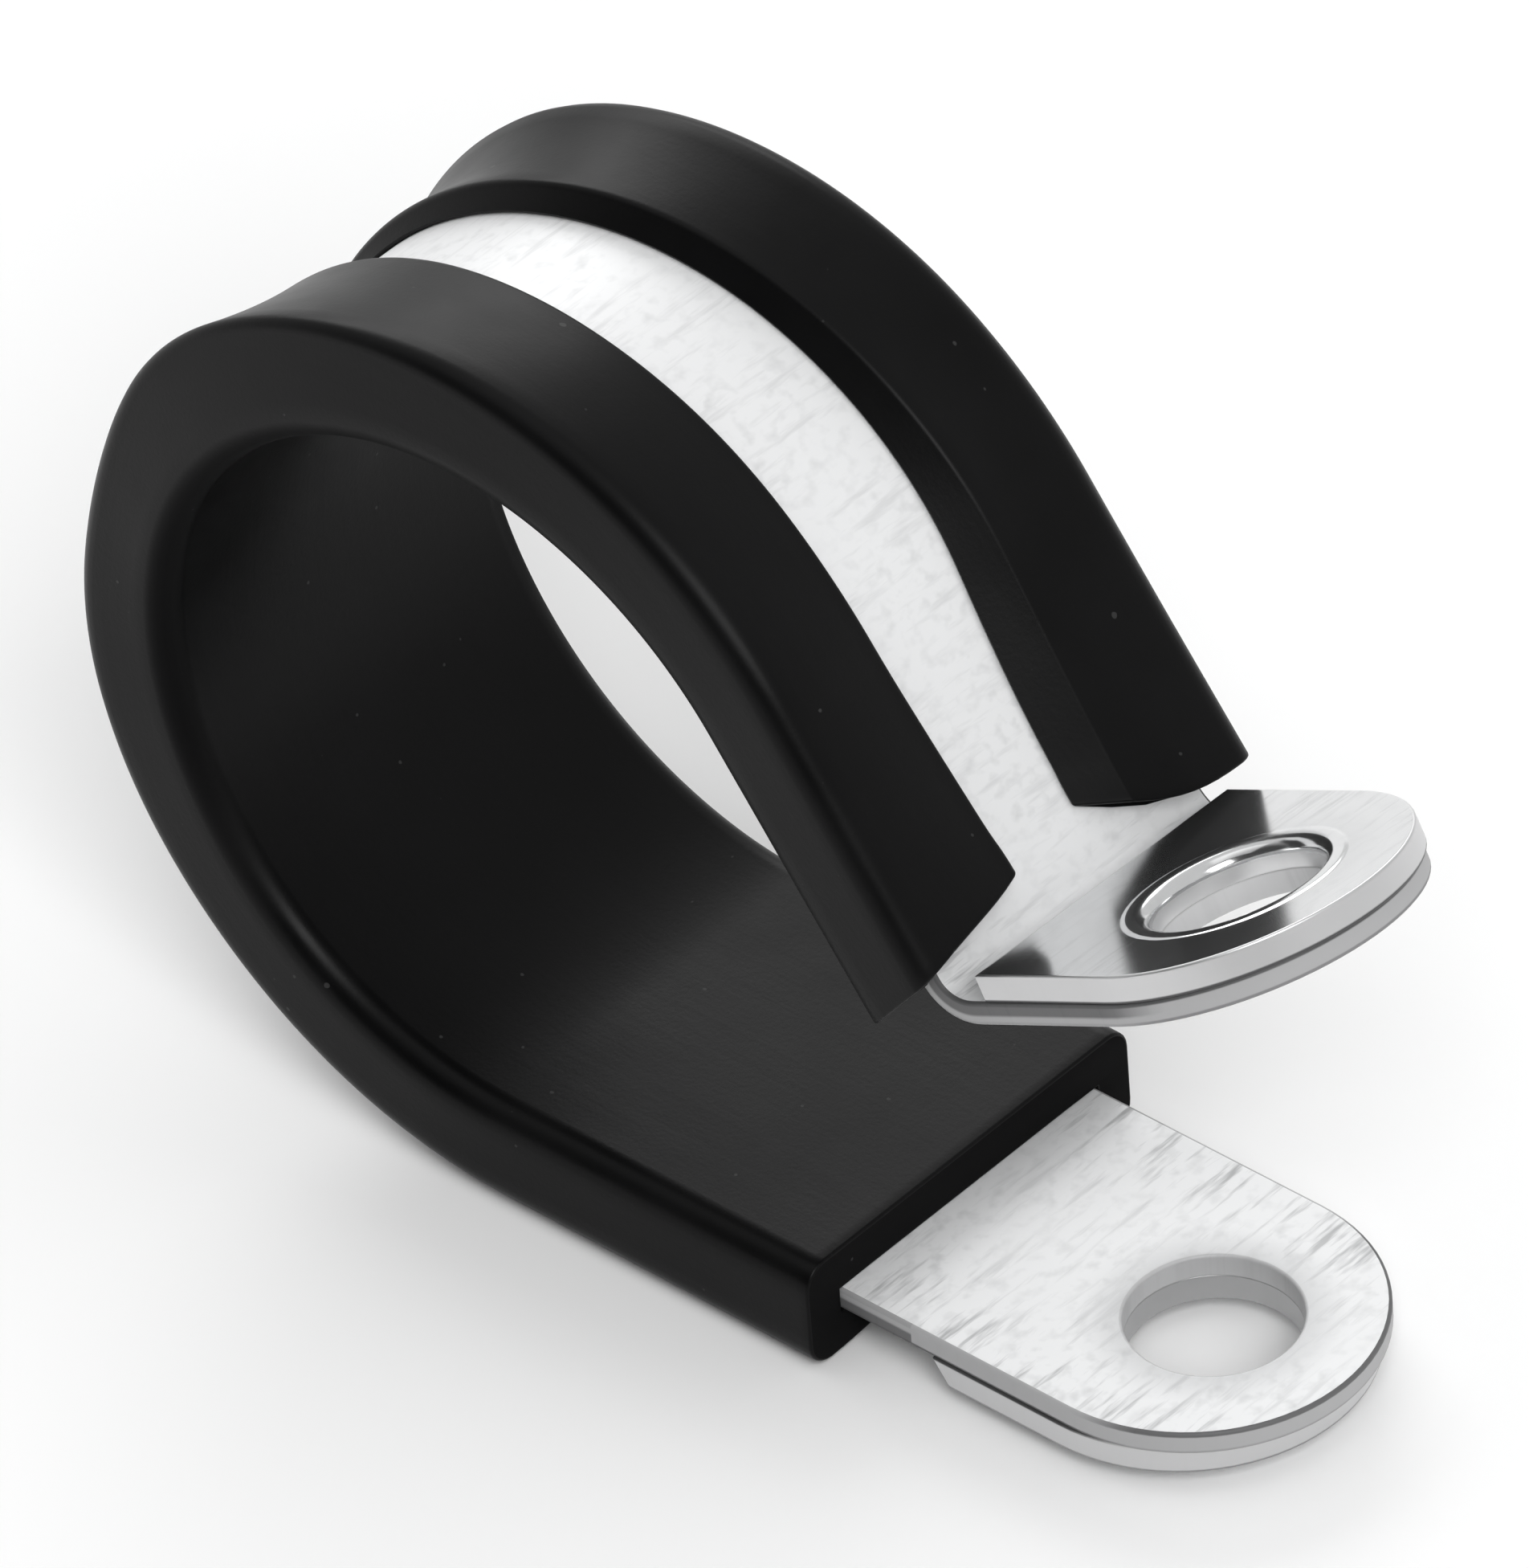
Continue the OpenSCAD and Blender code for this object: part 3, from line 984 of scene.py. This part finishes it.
def studio_floor():
    """A pale, plain floor with a very faint unevenness."""
    finish = Finish("studio_floor", gloss=0.1)
    place = finish.tree.nodes.new("ShaderNodeTexCoord")
    noise = finish.tree.nodes.new("ShaderNodeTexNoise")
    noise.inputs["Scale"].default_value = 3
    finish.tree.links.new(place.outputs["Object"], noise.inputs["Vector"])
    finish.give({"Base Color": finish.mixed(noise.outputs["Fac"], *FLOOR_TONES), "Roughness": 0.9})
    return finish.material


# The clamp

band_path = middle_line("band_path", AT_BEND)
# The cushion runs straight on where the band bends
cushion_path = middle_line("cushion_path", AT_TIP + 2 * PATH_OVERRUN)

band_finish = zinc_steel(
    "band_zinc",
    metal=0.1,
    gloss=0.3,
    face=(0.82, 0.825, 0.83),
    mark=(0.45, 0.455, 0.46),
    edge=(0.42, 0.42, 0.425),
    face_rough=0.4,
    mark_rough=0.55,
    edge_rough=0.1,
    mark_depth=0.1,
)
plate_finish = zinc_steel(
    "plate_zinc",
    metal=0.97,
    gloss=0.5,
    face=(0.73, 0.735, 0.74),
    mark=(0.62, 0.625, 0.63),
    edge=(0.64, 0.64, 0.645),
    face_rough=0.15,
    mark_rough=0.2,
    edge_rough=0.25,
    mark_depth=0.02,
)
rubber_finish = satin_rubber()

bend("clamp_band", steel_band_flat(), band_path, band_finish, "steel_band")
bend("clamp_cushion", rubber_cushion_flat(), cushion_path, rubber_finish, "rubber_cushion")

upper_plate = plate_flat(
    "upper_plate_flat",
    end=0.0,
    tip=UPPER_PLATE_LEN,
    hole_at=UPPER_PLATE_LEN - UPPER_HOLE_BACK,
    sides=UPPER_PLATE_LINES,
    at_tip=UPPER_PLATE_LINES,
    askew=UPPER_PLATE_ASKEW,
    collar=collar_profile(),
)
lower_plate = plate_flat(
    "lower_plate_flat",
    end=LOWER_PLATE_LEN,
    tip=0.0,
    hole_at=LOWER_HOLE_BACK - LOWER_PLATE_INSET,
    sides=LOWER_PLATE_SIDES,
    at_tip=LOWER_PLATE_TIP,
    slant=LOWER_PLATE_SLANT,
)
bend("upper_stiffener", upper_plate, band_path, plate_finish, "upper_plate",
     start=AT_LUG + UPPER_GAP, lift=BAND_T / 2)
bend("lower_stiffener", lower_plate, band_path, plate_finish, "lower_plate",
     start=LOWER_PLATE_INSET, lift=BAND_T / 2)
bpy.data.objects.remove(band_path)
bpy.data.objects.remove(cushion_path)


# The studio

FLOOR_DROP = 0.05 * MM
FLOOR_SIZE = 3.0
# The tent's opening lies this way, and fades in between two shares of pointing straight at it
TENT_OPENING = (0.2, -0.95, 0.25)
OPENING_FROM = 0.25
OPENING_FULL = 0.8
TENT_GLOW = 0.7
OPENING_GLOW = 0.045
WHITE = (1, 1, 1)


def lay_floor():
    """A pale floor just below the clamp."""
    lowest = cad_box[0].z - FLOOR_DROP
    bpy.ops.mesh.primitive_plane_add(size=FLOOR_SIZE, location=(0, 0, lowest))
    floor = bpy.context.object
    floor.name = "studio_floor"
    floor.data.materials.append(studio_floor())


def hang_light(name, place, wide, high, power):
    """A soft panel of light that faces the clamp."""
    light = bpy.data.lights.new(name, "AREA")
    light.shape = "RECTANGLE"
    light.size = wide
    light.size_y = high
    light.energy = power
    lamp = bpy.data.objects.new(name, light)
    lamp.location = place
    lamp.rotation_euler = (-Vector(place)).to_track_quat("-Z", "Y").to_euler()
    bpy.context.scene.collection.objects.link(lamp)


def pitch_tent():
    """A white tent all round, with a dim opening on one side."""
    world = bpy.data.worlds.new("studio_tent")
    world.use_nodes = True
    tree = world.node_tree
    way = tree.nodes.new("ShaderNodeTexCoord")
    facing = tree.nodes.new("ShaderNodeVectorMath")
    facing.operation = "DOT_PRODUCT"
    tree.links.new(way.outputs["Generated"], facing.inputs[0])
    facing.inputs[1].default_value = TENT_OPENING
    fade = tree.nodes.new("ShaderNodeMapRange")
    fade.interpolation_type = "SMOOTHSTEP"
    fade.inputs["From Min"].default_value = OPENING_FROM
    fade.inputs["From Max"].default_value = OPENING_FULL
    fade.inputs["To Min"].default_value = TENT_GLOW
    fade.inputs["To Max"].default_value = OPENING_GLOW
    tree.links.new(facing.outputs["Value"], fade.inputs["Value"])
    background = tree.nodes["Background"]
    feed(tree, background.inputs["Color"], WHITE)
    feed(tree, background.inputs["Strength"], fade.outputs["Result"])
    bpy.context.scene.world = world


lay_floor()
hang_light("top_light", place=(-0.2, -0.35, 0.9), wide=0.8, high=0.8, power=1)
hang_light("side_fill", place=(0.75, -0.55, 0.9), wide=0.6, high=0.6, power=9)
hang_light("back_strip", place=(-0.9, 0.67, 0.57), wide=1.0, high=0.5, power=5.2)
pitch_tent()
bpy.context.scene.view_settings.view_transform = "Standard"
bpy.context.scene.view_settings.look = "None"


# The camera: its direction, distance and roll, and where the loop's centre falls in the picture

PICTURE = (1904, 1952)
LOOP_CENTRE_PIXEL = (784, 840)
PIXELS_PER_METRE = 32577.0
CAMERA_TURN = math.radians(44.41)
CAMERA_HEIGHT = math.radians(38.90)
CAMERA_ROLL = math.radians(4.57)
CAMERA_DISTANCE = 0.954
SENSOR = 36.0
NEAREST_SEEN = 0.05
FURTHEST_SEEN = 20.0


def photo_camera():
    """A long lens from the right and above."""
    back = Vector((
        math.sin(CAMERA_TURN) * math.cos(CAMERA_HEIGHT),
        -math.cos(CAMERA_TURN) * math.cos(CAMERA_HEIGHT),
        math.sin(CAMERA_HEIGHT),
    ))
    level = Vector((0, 0, 1)).cross(back).normalized()
    upright = back.cross(level)
    right = level * math.cos(CAMERA_ROLL) - upright * math.sin(CAMERA_ROLL)
    up = level * math.sin(CAMERA_ROLL) + upright * math.cos(CAMERA_ROLL)
    aim_right = (PICTURE[0] / 2 - LOOP_CENTRE_PIXEL[0]) / PIXELS_PER_METRE
    aim_down = (PICTURE[1] / 2 - LOOP_CENTRE_PIXEL[1]) / PIXELS_PER_METRE
    place = back * CAMERA_DISTANCE
    behind = (place - right * aim_right + up * aim_down).normalized()
    right = (right - behind * right.dot(behind)).normalized()
    up = behind.cross(right)

    lens = bpy.data.cameras.new("photo_camera")
    lens.sensor_width = SENSOR
    lens.lens = SENSOR * PIXELS_PER_METRE * CAMERA_DISTANCE / max(PICTURE)
    lens.clip_start = NEAREST_SEEN
    lens.clip_end = FURTHEST_SEEN
    camera = bpy.data.objects.new("photo_camera", lens)
    turn = Matrix((right, up, behind)).transposed().to_4x4()
    camera.matrix_world = Matrix.Translation(place) @ turn
    bpy.context.scene.collection.objects.link(camera)
    bpy.context.scene.camera = camera


photo_camera()
